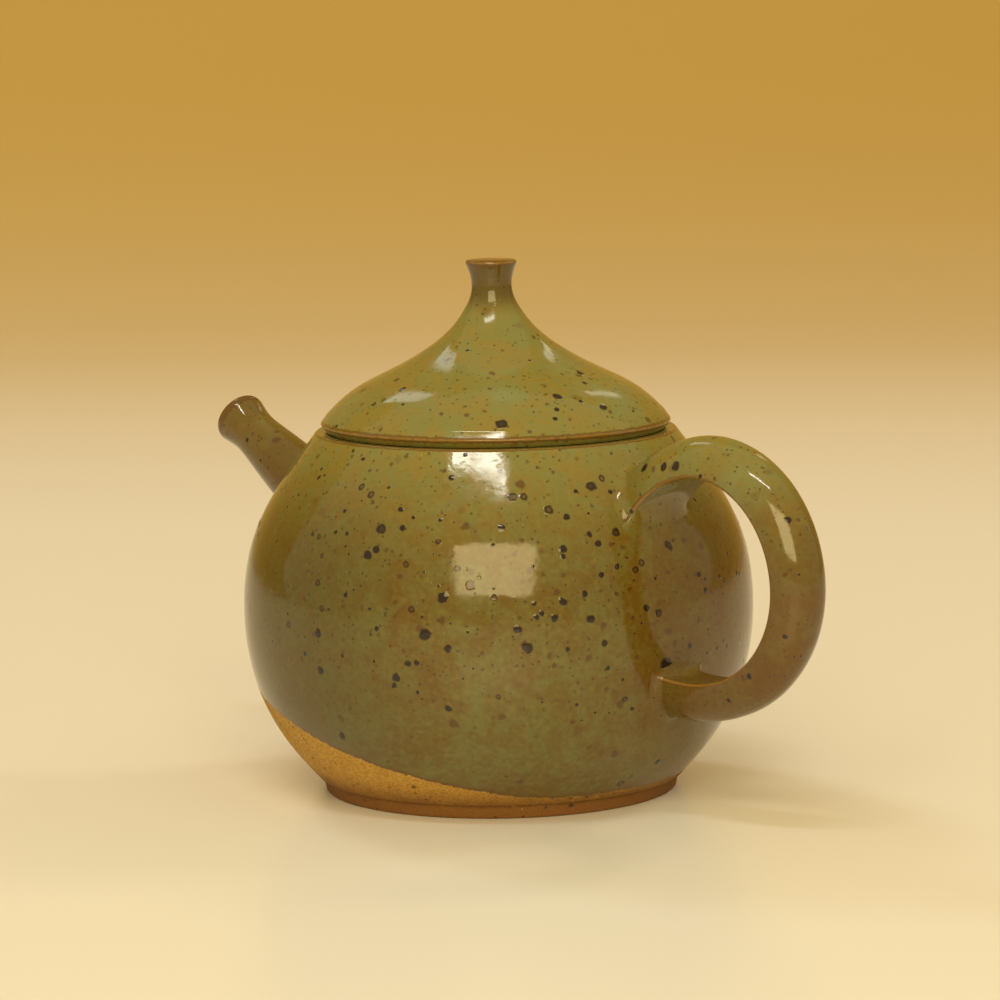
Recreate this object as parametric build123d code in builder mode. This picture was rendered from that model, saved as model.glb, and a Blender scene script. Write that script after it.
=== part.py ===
from build123d import *
import os
from math import cos, radians, sin

# A small stoneware teapot for one or two people, in millimetres.
# The origin is the centre of the foot, on the plane that the pot stands on. +Z is up,
# the handle is on the +X side and the spout on the -X side.
# The pot (wall, foot, seat, spout, strainer, handle) is luted together from separate
# pieces of clay. The lid (dome, flange, knob) is loose.

# ---- body ----
FOOT_H = 2.4                 # height of the foot ring
FOOT_R = 29.4                # outer radius of the foot where it stands
FOOT_TOP_R = 29.7            # outer radius of the foot where it meets the body
FOOT_WIDTH = 5.0             # width of the ring's standing face
FOOT_SLOPE = 0.8             # how much further in the ring's inner side reaches at its top
FOOT_EDGE = 0.5              # rounding of the ring's lower edges
BODY_MAX_R = 42.45           # half the greatest diameter
BODY_MAX_Z = 30.5            # height of the greatest diameter
SEAT_Z = 57.6                # top of the thrown wall, where the seat ring starts
RIM_Z = 60.0                 # top of the seat ring, on which the lid rests
RIM_R = 29.9                 # outer radius of the seat ring at its top
FLOOR_TOP_Z = 6.2            # upper face of the floor
FLOOR_FLAT_R = 20.0          # radius of the flat part of the floor
NECK_IN_R = 28.2             # inner radius of the wall under the seat ring
MOUTH_R = 24.3               # inner radius of the seat ring, the pot's mouth
SEAT_EDGE = 0.35             # rounding of the seat ring's upper edges
SLIP_GAP = 0.02              # hairline between the wall and what is luted on to it

# Outer side of the wall from the foot to the rim, as (radius, height).
BODY_SIDE = [
    (30.4, FOOT_H),
    (35.2, 8.0),
    (40.5, 18.0),
    (BODY_MAX_R, BODY_MAX_Z),
    (40.5, 43.0),
    (35.0, 53.0),
    (RIM_R, RIM_Z),
]
# Inner side of the wall from the flat of the floor to the seat ring.
CAVITY_SIDE = [
    (FLOOR_FLAT_R, FLOOR_TOP_Z),
    (31.6, 9.8),
    (37.2, 18.6),
    (39.2, 30.5),
    (37.3, 42.3),
    (32.4, 51.2),
    (NECK_IN_R, SEAT_Z),
]

# ---- spout ----
SPOUT_TILT = 30.5            # angle of the spout's axis above the horizontal
SPOUT_ROOT = (-40.9, 0, 42.1)  # where the axis leaves the body
SPOUT_LENGTH = 30.6          # from the root to the lip's end
SPOUT_BORE_R = 2.4           # straight bore
SPOUT_FUNNEL_R = 5.4         # bore at the root
SPOUT_FUNNEL_LENGTH = 12.0   # length over which the bore narrows
SPOUT_SINK = 6.0             # how far the root runs on before it is trimmed to the body
WALL_HOLE_FROM = -12.0       # the hole in the wall starts inside, before the root
WALL_HOLE_LENGTH = 20.0
LIP_END_R = 3.6              # outer radius of the lip's end face
# Outer side of the spout, as (radius, distance along the axis from the root).
SPOUT_SIDE = [
    (9.8, -SPOUT_SINK),
    (7.6, 0.0),
    (6.2, 5.5),
    (5.4, 11.5),
    (4.85, 17.0),
    (4.25, 22.0),
    (4.05, 25.2),
    (4.5, 28.4),
]

# ---- strainer over the spout's hole, inside ----
STRAINER_R = 8.6             # outer radius of the dome
STRAINER_WALL = 1.3
STRAINER_CENTRE = -2.4       # place of the dome's centre along the spout's axis
STRAINER_HOLE_R = 0.9
STRAINER_RINGS = [(1, 0), (6, 24), (12, 46)]  # holes in a ring, angle from the axis

# ---- handle ----
# Line of the strap's flat inner face, as (x, z), from inside the shoulder to inside the belly.
HANDLE_INSIDE = [
    (33.6, 42.8),
    (39.9, 51.7),
    (49.9, 56.2),
    (59.6, 53.2),
    (65.8, 44.6),
    (66.2, 36.2),
    (60.1, 27.0),
    (50.0, 23.3),
    (37.6, 24.3),
]
# Strap width and thickness at even steps along that line.
HANDLE_SIZES = [
    (13.4, 9.6),
    (12.4, 7.6),
    (11.2, 6.4),
    (10.5, 6.2),
    (10.2, 6.1),
    (10.0, 5.85),
    (9.9, 5.7),
    (9.7, 5.8),
    (9.4, 6.1),
    (9.1, 6.8),
    (9.1, 7.6),
]

# ---- lid ----
LID_GAP = 0.12               # air under the lid's bearing face
LID_BASE_Z = RIM_Z + LID_GAP
LID_BASE_R = 28.2            # outer radius of the bearing face
LID_R = 29.05                # greatest radius of the lid, at its ridge
RIDGE_Z = 61.35              # height of the ridge
FLANGE_R = 23.6              # outer radius of the flange, 0.7 less than the mouth
FLANGE_WALL = 2.8
FLANGE_TAPER = 0.5           # how much narrower the flange is at its lower end
FLANGE_BOTTOM_Z = 52.8
FLANGE_EDGE = 0.8            # rounding of the flange's lower edges
KNOB_BASE_Z = 80.6           # joint between dome and knob
KNOB_BASE_R = 4.32           # radii of the knob's foot, neck and top edge
KNOB_NECK_R = 3.35
KNOB_NECK_Z = 84.0
KNOB_TOP_R = 4.3
KNOB_EDGE_Z = 87.6           # height of the knob's top edge
KNOB_DOME = 0.7              # rise of the knob's top face
KNOB_ROUNDING = 0.5          # rounding between the knob's side and its top face
VENT_R = 1.0                 # air hole in the dome
VENT_X = -14.0               # its place, on the spout's side

# Outer side of the dome from the shoulder of its rim to the knob.
LID_SIDE = [
    (28.1, 63.2),
    (24.64, 66.0),
    (17.37, 70.0),
    (10.44, 74.0),
    (6.06, 78.0),
    (KNOB_BASE_R, KNOB_BASE_Z),
]
# Hollow underside of the dome from the flange to the middle.
LID_HOLLOW = [
    (FLANGE_R - FLANGE_WALL, 62.4),
    (14.5, 67.4),
    (8.0, 71.0),
    (0, 72.6),
]

os.makedirs("parts", exist_ok=True)

spout_axis = Vector(-cos(radians(SPOUT_TILT)), 0, sin(radians(SPOUT_TILT)))


def spout_point(distance):
    """Point on the spout's axis, by its distance from the root."""
    return Vector(*SPOUT_ROOT) + spout_axis * distance


# Plane that holds the spout's axis as its Y direction, for sections turned about it.
# It is turned by 20 degrees, so the seam of the turned faces lies off the pot's own planes.
spout_line = Axis(SPOUT_ROOT, spout_axis)
seam_side = Vector(0, 1, 0).rotate(spout_line, 20)
spout_side_plane = Plane(origin=SPOUT_ROOT, x_dir=seam_side, z_dir=seam_side.cross(spout_axis))


def body_solid(grow=0.0):
    """The pot's outside as one solid, with its radii grown by a small amount."""
    with BuildPart() as form:
        with BuildSketch(Plane.XZ):
            with BuildLine():
                side = Spline(*[(radius + grow, height) for radius, height in BODY_SIDE])
                Polyline(side @ 1, (0, RIM_Z), (0, FOOT_H), side @ 0)
            make_face()
        revolve(axis=Axis.Z)
    return form.part


# The outside of the pot, and the same shape for trimming what is luted on to it.
body_form = body_solid()
trim_form = body_solid(SLIP_GAP)

# Solid shape of the tea chamber.
with BuildPart() as cavity_form:
    with BuildSketch(Plane.XZ):
        with BuildLine():
            side = Spline(*CAVITY_SIDE, tangents=[(1, 0), (-0.62, 0.78)])
            Polyline(side @ 1, (0, SEAT_Z), (0, FLOOR_TOP_Z), side @ 0)
        make_face()
    revolve(axis=Axis.Z)

# The thrown wall with its floor, and the hole behind the spout.
with BuildPart() as body_wall:
    add(body_form)
    split(bisect_by=Plane.XY.offset(SEAT_Z), keep=Keep.BOTTOM)
    add(cavity_form.part, mode=Mode.SUBTRACT)
    with BuildSketch(Plane(origin=spout_point(WALL_HOLE_FROM), z_dir=spout_axis)):
        Circle(SPOUT_FUNNEL_R)
    extrude(amount=WALL_HOLE_LENGTH, mode=Mode.SUBTRACT)

# The ring that the pot stands on.
with BuildPart() as foot_ring:
    with BuildSketch(Plane.XZ) as foot_section:
        with BuildLine():
            Polyline(
                (FOOT_R - FOOT_WIDTH, 0),
                (FOOT_R, 0),
                (FOOT_TOP_R, FOOT_H),
                (FOOT_R - FOOT_WIDTH - FOOT_SLOPE, FOOT_H),
                close=True,
            )
        make_face()
        fillet(foot_section.vertices().group_by(Axis.Z)[0], FOOT_EDGE)
    revolve(axis=Axis.Z)

# The gallery ring at the mouth, which carries the lid.
with BuildPart() as lid_seat:
    add(body_form)
    split(bisect_by=Plane.XY.offset(SEAT_Z), keep=Keep.TOP)
    with BuildSketch(Plane.XY.offset(SEAT_Z)):
        Circle(MOUTH_R)
    extrude(amount=RIM_Z - SEAT_Z, mode=Mode.SUBTRACT)
    fillet(lid_seat.edges().group_by(Axis.Z)[-1], SEAT_EDGE)

# The spout: a round tube with a flared root and a rolled lip.
with BuildPart() as spout:
    with BuildSketch(spout_side_plane):
        with BuildLine():
            side = Spline(*SPOUT_SIDE)
            lip = Spline(
                side @ 1,
                (LIP_END_R, SPOUT_LENGTH),
                tangents=[side % 1, (-1, 0)],
            )
            Polyline(lip @ 1, (0, SPOUT_LENGTH), (0, -SPOUT_SINK), side @ 0)
        make_face()
    revolve(axis=spout_line)
    with BuildSketch(spout_side_plane):
        with BuildLine():
            Polyline(
                (0, -SPOUT_SINK),
                (SPOUT_FUNNEL_R, -SPOUT_SINK),
                (SPOUT_FUNNEL_R, 0),
                (SPOUT_BORE_R, SPOUT_FUNNEL_LENGTH),
                (SPOUT_BORE_R, SPOUT_LENGTH),
                (0, SPOUT_LENGTH),
                close=True,
            )
        make_face()
    revolve(axis=spout_line, mode=Mode.SUBTRACT)
    add(trim_form, mode=Mode.SUBTRACT)

# The pierced dome inside, trimmed to the chamber's wall.
with BuildPart() as strainer_dome:
    with Locations(spout_point(STRAINER_CENTRE)):
        Sphere(STRAINER_R)
        Sphere(STRAINER_R - STRAINER_WALL, mode=Mode.SUBTRACT)
    add(cavity_form.part, mode=Mode.INTERSECT)
    inward = Plane(origin=spout_point(STRAINER_CENTRE), x_dir=(0, 1, 0), z_dir=-spout_axis)
    for count, angle in STRAINER_RINGS:
        for step in range(count):
            turn = 360 * step / count
            with BuildSketch(inward.rotated((0, 0, turn)).rotated((0, angle, 0))):
                Circle(STRAINER_HOLE_R)
            extrude(amount=2 * STRAINER_R, mode=Mode.SUBTRACT)

# The strap handle: D-shaped sections along its inner face, trimmed to the body.
with BuildLine(Plane.XZ) as handle_path:
    Spline(*HANDLE_INSIDE)

with BuildPart() as handle:
    inside = handle_path.wires()[0]
    for step, (width, thickness) in enumerate(HANDLE_SIZES):
        place = step / (len(HANDLE_SIZES) - 1)
        with BuildSketch(Plane(origin=inside @ place, x_dir=(0, 1, 0), z_dir=inside % place)):
            with BuildLine():
                flat = Line((-width / 2, 0), (width / 2, 0))
                EllipticalCenterArc((0, 0), width / 2, thickness, arc_size=180)
            make_face()
    loft()
    add(trim_form, mode=Mode.SUBTRACT)

# The lid's hollow dome with its low rim and air hole.
with BuildPart() as lid_dome:
    with BuildSketch(Plane.XZ):
        with BuildLine():
            rim = Spline(
                (LID_BASE_R, LID_BASE_Z),
                (LID_R, RIDGE_Z),
                LID_SIDE[0],
                tangents=[(0.5, 0.5), (-0.62, 0.5)],
            )
            side = Spline(*LID_SIDE, tangents=[rim % 1, (-0.3, 0.95)])
            hollow = Spline(*LID_HOLLOW, tangents=[(-0.75, 0.66), (-1, 0)])
            Polyline(side @ 1, (0, KNOB_BASE_Z), hollow @ 1)
            Polyline(hollow @ 0, (FLANGE_R - FLANGE_WALL, LID_BASE_Z), rim @ 0)
        make_face()
    revolve(axis=Axis.Z)
    with BuildSketch(Plane.XY.offset(LID_BASE_Z)):
        with Locations((VENT_X, 0)):
            Circle(VENT_R)
    extrude(amount=KNOB_BASE_Z - LID_BASE_Z, mode=Mode.SUBTRACT)

# The ring under the lid that keeps it centred in the mouth.
with BuildPart() as lid_flange:
    with BuildSketch(Plane.XZ) as flange_section:
        with BuildLine():
            Polyline(
                (FLANGE_R - FLANGE_WALL, LID_BASE_Z),
                (FLANGE_R, LID_BASE_Z),
                (FLANGE_R - FLANGE_TAPER, FLANGE_BOTTOM_Z),
                (FLANGE_R - FLANGE_WALL, FLANGE_BOTTOM_Z),
                close=True,
            )
        make_face()
        fillet(flange_section.vertices().group_by(Axis.Z)[0], FLANGE_EDGE)
    revolve(axis=Axis.Z)

# The waisted knob.
with BuildPart() as lid_knob:
    with BuildSketch(Plane.XZ):
        with BuildLine():
            side = Spline(
                (KNOB_BASE_R, KNOB_BASE_Z),
                (KNOB_NECK_R, KNOB_NECK_Z),
                (KNOB_TOP_R, KNOB_EDGE_Z),
                tangents=[(-0.3, 0.95), (0.42, 0.9)],
            )
            crown = Spline(
                side @ 1,
                (KNOB_TOP_R - KNOB_ROUNDING, KNOB_EDGE_Z + KNOB_ROUNDING),
                (0, KNOB_EDGE_Z + KNOB_DOME),
                tangents=[(0, 1), (-1, 0)],
            )
            Polyline(crown @ 1, (0, KNOB_BASE_Z), side @ 0)
        make_face()
    revolve(axis=Axis.Z)

PIECES = {
    "body_wall": body_wall,
    "foot_ring": foot_ring,
    "lid_seat": lid_seat,
    "spout": spout,
    "strainer_dome": strainer_dome,
    "handle": handle,
    "lid_dome": lid_dome,
    "lid_flange": lid_flange,
    "lid_knob": lid_knob,
}
for name, piece in PIECES.items():
    piece.part.label = name
    export_step(piece.part, f"parts/{name}.step")
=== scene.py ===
import logging
import math
from dataclasses import dataclass, field
from enum import Enum
from typing import Any

import bpy
import numpy as np
from mathutils import Matrix, Vector
from mathutils.bvhtree import BVHTree


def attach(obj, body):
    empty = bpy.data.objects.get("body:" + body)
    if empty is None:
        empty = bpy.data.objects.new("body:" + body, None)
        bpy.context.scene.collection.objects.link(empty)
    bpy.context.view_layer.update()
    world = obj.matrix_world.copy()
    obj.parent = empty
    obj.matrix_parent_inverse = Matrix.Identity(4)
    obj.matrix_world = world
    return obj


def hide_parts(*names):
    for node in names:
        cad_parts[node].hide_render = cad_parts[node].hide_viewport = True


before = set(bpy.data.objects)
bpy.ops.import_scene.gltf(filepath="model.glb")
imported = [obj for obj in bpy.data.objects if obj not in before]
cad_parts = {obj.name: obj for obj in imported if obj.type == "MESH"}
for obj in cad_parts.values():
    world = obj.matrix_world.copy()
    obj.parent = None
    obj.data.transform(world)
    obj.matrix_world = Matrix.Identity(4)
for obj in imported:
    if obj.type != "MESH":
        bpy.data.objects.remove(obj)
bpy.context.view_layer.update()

MM = 0.001
LOG = logging.getLogger("teapot")

Socket = bpy.types.NodeSocket
Points = np.ndarray


class Slot(Enum):
    """Material slots of the record that a piece can take its finish from."""

    GLAZE = "glaze"
    CLAY = "bare_clay"


class Body(Enum):
    """Moving bodies of the frame."""

    POT = "pot"
    LID = "lid"


# ---------------------------------------------------------------- node graphs


class Graph:
    """Adds nodes to a tree, sets their inputs and links them, in one call each."""

    def __init__(self, tree: bpy.types.NodeTree) -> None:
        """Keep the tree that nodes are added to.

        Args:
            tree: A shader or geometry node tree.
        """
        self.tree = tree

    def add(self, kind: str, inputs: dict[Any, Any] | None = None, **settings: Any) -> bpy.types.Node:
        """Add one node.

        Args:
            kind: The node's type name.
            inputs: Values or sockets, by input name or index.
            settings: Attributes to set on the node before its inputs are filled.

        Returns:
            The new node.
        """
        node = self.tree.nodes.new(kind)
        for name, value in settings.items():
            setattr(node, name, value)
        for key, value in (inputs or {}).items():
            self.feed(node.inputs[key], value)
        return node

    def feed(self, target: Socket, value: Any) -> None:
        """Link a socket to an input, or set the input to a plain value."""
        if isinstance(value, Socket):
            self.tree.links.new(value, target)
        else:
            target.default_value = value

    def math(self, operation: str, *values: Any, clamp: bool = False) -> Socket:
        """One Math node's result."""
        node = self.add("ShaderNodeMath", dict(enumerate(values)), operation=operation, use_clamp=clamp)
        return node.outputs[0]

    def vector(self, operation: str, *values: Any) -> Socket:
        """One Vector Math node's result; a length or dot product comes from its value output."""
        node = self.add("ShaderNodeVectorMath", operation=operation)
        for index, value in enumerate(values):
            slot = "Scale" if operation == "SCALE" and index == 1 else index
            self.feed(node.inputs[slot], value)
        return node.outputs["Value" if operation in {"LENGTH", "DOT_PRODUCT"} else "Vector"]

    def ramp(self, value: Any, low: float, high: float, start: float = 0.0, end: float = 1.0) -> Socket:
        """Smooth step from start to end while a value goes from low to high."""
        node = self.add(
            "ShaderNodeMapRange",
            {"Value": value, "From Min": low, "From Max": high, "To Min": start, "To Max": end},
            interpolation_type="SMOOTHSTEP",
        )
        return node.outputs["Result"]

    def blend(self, share: Any, first: Any, second: Any, mode: str = "MIX") -> Socket:
        """Mix two colours by a share from 0 to 1."""
        node = self.add("ShaderNodeMix", data_type="RGBA", blend_type=mode)
        for index, value in ((0, share), (6, first), (7, second)):
            self.feed(node.inputs[index], value)
        return node.outputs[2]

    def noise(self, place: Socket, scale: float, detail: float = 3.0, distortion: float = 0.0) -> Socket:
        """Noise from 0 to 1 whose features are about 1/scale across."""
        node = self.add(
            "ShaderNodeTexNoise",
            {"Vector": place, "Scale": scale, "Detail": detail, "Distortion": distortion},
        )
        return node.outputs[0]


# ---------------------------------------------------------------- curves and meshes


def smooth_line(points: list[tuple[float, ...]], spacing: float = 0.7) -> Points:
    """Cubic spline through a few points, at even steps.

    Args:
        points: The points that the line passes through.
        spacing: Length of a step, in the points' units.

    Returns:
        The line's points, one row each.
    """
    knots = np.array(points, float)
    steps = np.linalg.norm(np.diff(knots, axis=0), axis=1)
    place = np.concatenate([[0.0], np.cumsum(steps)])
    count = len(knots)
    matrix, right = np.eye(count), np.zeros_like(knots)
    for i in range(1, count - 1):
        matrix[i, i - 1 : i + 2] = steps[i - 1], 2 * (steps[i - 1] + steps[i]), steps[i]
        right[i] = 6 * ((knots[i + 1] - knots[i]) / steps[i] - (knots[i] - knots[i - 1]) / steps[i - 1])
    bend = np.linalg.solve(matrix, right)
    at = np.linspace(0, place[-1], max(3, int(round(place[-1] / spacing)) + 1))
    span = np.clip(np.searchsorted(place, at, side="right") - 1, 0, count - 2)
    width, after = steps[span][:, None], (at - place[span])[:, None]
    before = width - after
    return (
        (bend[span] * before**3 + bend[span + 1] * after**3) / (6 * width)
        + (knots[span] / width - bend[span] * width / 6) * before
        + (knots[span + 1] / width - bend[span + 1] * width / 6) * after
    )


def straight(start: tuple[float, float], end: tuple[float, float], count: int) -> Points:
    """Evenly spaced points of a straight run, without its last one."""
    share = np.linspace(0, 1, count, endpoint=False)[:, None]
    return np.array(start) * (1 - share) + np.array(end) * share


def rounded(corner: tuple[float, float], radius: float, first: float, last: float, count: int = 6) -> Points:
    """Points of a round edge.

    Args:
        corner: Centre of the rounding.
        radius: Its radius.
        first: Angle where it starts, in degrees.
        last: Angle where it ends.
        count: Number of points.

    Returns:
        The points, one row each.
    """
    turn = np.radians(np.linspace(first, last, count))
    return np.array(corner) + radius * np.column_stack([np.cos(turn), np.sin(turn)])


def new_object(name: str, mesh: bpy.types.Mesh) -> bpy.types.Object:
    """Put a mesh into the scene as an object at the origin."""
    piece = bpy.data.objects.new(name, mesh)
    bpy.context.scene.collection.objects.link(piece)
    return piece


def face_outwards(mesh: bpy.types.Mesh) -> None:
    """Turn a closed mesh's faces outwards, by the sign of its volume."""
    mesh.calc_loop_triangles()
    place = np.empty(len(mesh.vertices) * 3)
    mesh.vertices.foreach_get("co", place)
    place = place.reshape(-1, 3)
    corners = np.empty(len(mesh.loop_triangles) * 3, int)
    mesh.loop_triangles.foreach_get("vertices", corners)
    a, b, c = (place[corners.reshape(-1, 3)[:, i]] for i in range(3))
    if np.einsum("ij,ij->i", a, np.cross(b, c)).sum() < 0:
        mesh.flip_normals()


def store(mesh: bpy.types.Mesh, name: str, values: Points) -> None:
    """Write one number per vertex as a named attribute."""
    layer = mesh.attributes.new(name, "FLOAT", "POINT")
    layer.data.foreach_set("value", np.asarray(values, np.float32).ravel())


def bake_modifiers(piece: bpy.types.Object) -> None:
    """Turn an object's modifiers into its own plain mesh."""
    graph = bpy.context.evaluated_depsgraph_get()
    mesh = bpy.data.meshes.new_from_object(piece.evaluated_get(graph), depsgraph=graph)
    mesh.name = piece.name
    piece.modifiers.clear()
    piece.data = mesh
    material = next(item for item in mesh.materials if item is not None)
    mesh.materials.clear()
    mesh.materials.append(material)
    mesh.polygons.foreach_set("material_index", np.zeros(len(mesh.polygons), np.int32))


def apply_tree(piece: bpy.types.Object, tree: bpy.types.NodeTree, values: dict[str, Any]) -> None:
    """Run a Geometry Nodes tree on an object and keep the result as its mesh.

    Args:
        piece: The object.
        tree: The tree.
        values: The tree's inputs by name.
    """
    modifier = piece.modifiers.new(tree.name, "NODES")
    modifier.node_group = tree
    sockets = {
        item.name: item.identifier for item in tree.interface.items_tree if item.item_type == "SOCKET"
    }
    for name, value in values.items():
        modifier[sockets[name]] = value
    bake_modifiers(piece)


def new_tree(name: str, inputs: dict[str, str]) -> tuple[Graph, bpy.types.Node]:
    """Start a Geometry Nodes tree.

    Args:
        name: The tree's name.
        inputs: Socket types by input name, after the geometry.

    Returns:
        The graph and its group input node.
    """
    tree = bpy.data.node_groups.new(name, "GeometryNodeTree")
    tree.interface.new_socket("Geometry", in_out="INPUT", socket_type="NodeSocketGeometry")
    for label, kind in inputs.items():
        tree.interface.new_socket(label, in_out="INPUT", socket_type=kind)
    tree.interface.new_socket("Geometry", in_out="OUTPUT", socket_type="NodeSocketGeometry")
    graph = Graph(tree)
    return graph, graph.add("NodeGroupInput")


def end_tree(graph: Graph, geometry: Socket, material: Socket) -> bpy.types.NodeTree:
    """Close a tree with smooth shading, Realize Instances and Set Material."""
    smooth = graph.add("GeometryNodeSetShadeSmooth", {"Geometry": geometry})
    real = graph.add("GeometryNodeRealizeInstances", {"Geometry": smooth.outputs[0]})
    dressed = graph.add("GeometryNodeSetMaterial", {"Geometry": real.outputs[0], "Material": material})
    graph.add("NodeGroupOutput", {"Geometry": dressed.outputs[0]})
    return graph.tree


# ---------------------------------------------------------------- finishes


@dataclass(frozen=True)
class DipLine:
    """Where the glaze ends: the pot was dipped at a slant and its foot wiped. Millimetres."""

    foot: float = 3.4
    height: float = 10.8
    slope: float = 0.29
    turned: float = 5.0
    wander: float = 1.1

    def above(self, graph: Graph, place: Socket) -> Socket:
        """Height above the glaze's edge.

        Args:
            graph: Tree to add the nodes to.
            place: Position in millimetres.

        Returns:
            The height as a socket, negative on bare clay.
        """
        turn = math.radians(self.turned)
        slant = (self.slope * math.cos(turn), self.slope * math.sin(turn), 1.0)
        dipped = graph.math("SUBTRACT", graph.vector("DOT_PRODUCT", place, slant), self.height)
        rise = graph.vector("DOT_PRODUCT", place, (0.0, 0.0, 1.0))
        wiped = graph.math("SUBTRACT", rise, self.foot)
        edge = graph.math("SMOOTH_MIN", dipped, wiped, 1.5)
        stray = graph.math("SUBTRACT", graph.noise(place, 0.16, 2.0), 0.5)
        return graph.math("MULTIPLY_ADD", stray, self.wander, edge)


@dataclass(frozen=True)
class StonewareFinish:
    """Celadon over an iron-bearing clay: olive glaze, brown where thin, bare clay at the foot."""

    olive: tuple = (0.130, 0.074, 0.006, 1.0)
    green: tuple = (0.132, 0.124, 0.030, 1.0)
    light: tuple = (0.250, 0.192, 0.040, 1.0)
    moss: tuple = (0.208, 0.200, 0.056, 1.0)
    umber: tuple = (0.115, 0.050, 0.004, 1.0)
    # Painted shade colour: a darkened olive for the camera's left side and the knob's neck.
    painted_shade: tuple = (0.076, 0.052, 0.005, 1.0)
    jade: tuple = (0.200, 0.215, 0.085, 1.0)
    rust: tuple = (0.235, 0.120, 0.022, 1.0)
    iron: tuple = (0.020, 0.010, 0.005, 1.0)
    freckle: tuple = (0.042, 0.018, 0.004, 1.0)
    chestnut: tuple = (0.082, 0.030, 0.006, 1.0)
    sand: tuple = (0.515, 0.320, 0.052, 1.0)
    ochre: tuple = (0.380, 0.180, 0.024, 1.0)
    burnt: tuple = (0.165, 0.058, 0.006, 1.0)
    gloss: float = 0.07
    pools: tuple = (
        ((23, 4, 66), 10), ((14, 1, 71), 6), ((-3, -4, 79), 5), ((16, -14, 67), 6),
        ((60, -4, 54), 7), ((-12, -24, 63), 8), ((-14, -2, 71), 6), ((4, 24, 65), 7))

    def build(self, name: str, dip: DipLine | None = None, brown: float = 0.0) -> bpy.types.Material:
        """Make the material.

        Args:
            name: The material's name.
            dip: Where the glaze ends, or None for a piece that is glazed all over.
            brown: How much browner the glaze is than on the body, from 0 to 1.

        Returns:
            The material.
        """
        material = bpy.data.materials.new(name)
        material.use_nodes = True
        graph = Graph(material.node_tree)
        shader = material.node_tree.nodes["Principled BSDF"]
        here = graph.add("ShaderNodeTexCoord").outputs["Object"]
        place = graph.vector("SCALE", here, 1 / MM)
        colour = self.glaze_colour(graph, place, brown)
        rough = graph.ramp(graph.noise(place, 0.22, 2.0), 0.35, 0.75, self.gloss, self.gloss + 0.09)
        height = self.glaze_relief(graph, place)
        if dip is not None:
            clay, grain = self.clay(graph, place)
            above = dip.above(graph, place)
            ragged = graph.math("MULTIPLY_ADD", graph.noise(place, 1.6, 3.0), 0.9, above)
            inside = graph.math("MULTIPLY", self.attribute(graph, "inside"), 100.0)
            ragged = graph.math("ADD", ragged, inside)
            cover = graph.ramp(ragged, 0.30, 0.62)
            thin = graph.ramp(ragged, 0.55, 1.7, 1.0, 0.0)
            colour = graph.blend(graph.math("MULTIPLY", thin, 0.8), colour, self.umber)
            colour = graph.blend(cover, clay, colour)
            rough = graph.math("ADD", graph.math("MULTIPLY", graph.math("SUBTRACT", 1.0, cover), 0.75), rough)
            height = graph.add("ShaderNodeMix", {0: cover, 2: grain, 3: height}, data_type="FLOAT").outputs[0]
        bump = graph.add("ShaderNodeBump", {"Strength": 1.0, "Distance": MM, "Height": height})
        graph.feed(shader.inputs["Base Color"], colour)
        graph.feed(shader.inputs["Roughness"], rough)
        graph.feed(shader.inputs["Normal"], bump.outputs[0])
        shader.inputs["IOR"].default_value = 1.5
        return material

    def build_clay(self, name: str) -> bpy.types.Material:
        """Bare clay all over, for the foot."""
        material = bpy.data.materials.new(name)
        material.use_nodes = True
        graph = Graph(material.node_tree)
        shader = material.node_tree.nodes["Principled BSDF"]
        here = graph.add("ShaderNodeTexCoord").outputs["Object"]
        colour, grain = self.clay(graph, graph.vector("SCALE", here, 1 / MM))
        bump = graph.add("ShaderNodeBump", {"Strength": 1.0, "Distance": MM, "Height": grain})
        graph.feed(shader.inputs["Base Color"], colour)
        graph.feed(shader.inputs["Normal"], bump.outputs[0])
        shader.inputs["Roughness"].default_value = 0.82
        return material

    def attribute(self, graph: Graph, name: str) -> Socket:
        """A number stored on the mesh, 0 where the mesh has none."""
        return graph.add("ShaderNodeAttribute", attribute_name=name).outputs["Fac"]

    def near(self, graph: Graph, place: Socket, centre: tuple, reach: float) -> Socket:
        """1 at a centre, falling to 0 at a distance from it, in millimetres."""
        away = graph.vector("LENGTH", graph.vector("SUBTRACT", place, tuple(float(part) for part in centre)))
        return graph.ramp(away, reach, 0.25 * reach)

    def flecks(self, graph: Graph, place: Socket, cell: float, largest: float, share: float,
               soft: float = 0.09) -> Socket:
        """Round flecks of random size scattered through space.

        Args:
            graph: Tree to add the nodes to.
            place: Position in millimetres.
            cell: Usual distance between two flecks.
            largest: Greatest radius, in cells.
            share: Share of cells that hold a fleck.
            soft: Width of a fleck's soft edge, in cells.

        Returns:
            1 inside a fleck and 0 outside.
        """
        wobble = graph.add("ShaderNodeTexNoise", {"Vector": place, "Scale": 2.2 / cell, "Detail": 1.0})
        stray = graph.vector("SCALE", wobble.outputs[1], 0.35 * cell)
        moved = graph.vector("ADD", place, stray)
        dots = graph.add("ShaderNodeTexVoronoi", {"Vector": moved, "Scale": 1 / cell, "Randomness": 0.9})
        pick = graph.add("ShaderNodeSeparateColor", {0: dots.outputs["Color"]})
        chance = graph.math("SUBTRACT", pick.outputs[0], 1 - share)
        size = graph.math("MULTIPLY", graph.math("DIVIDE", chance, share), largest)
        depth = graph.math("SUBTRACT", size, dots.outputs["Distance"])
        return graph.ramp(depth, -soft / 3, soft)

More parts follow.
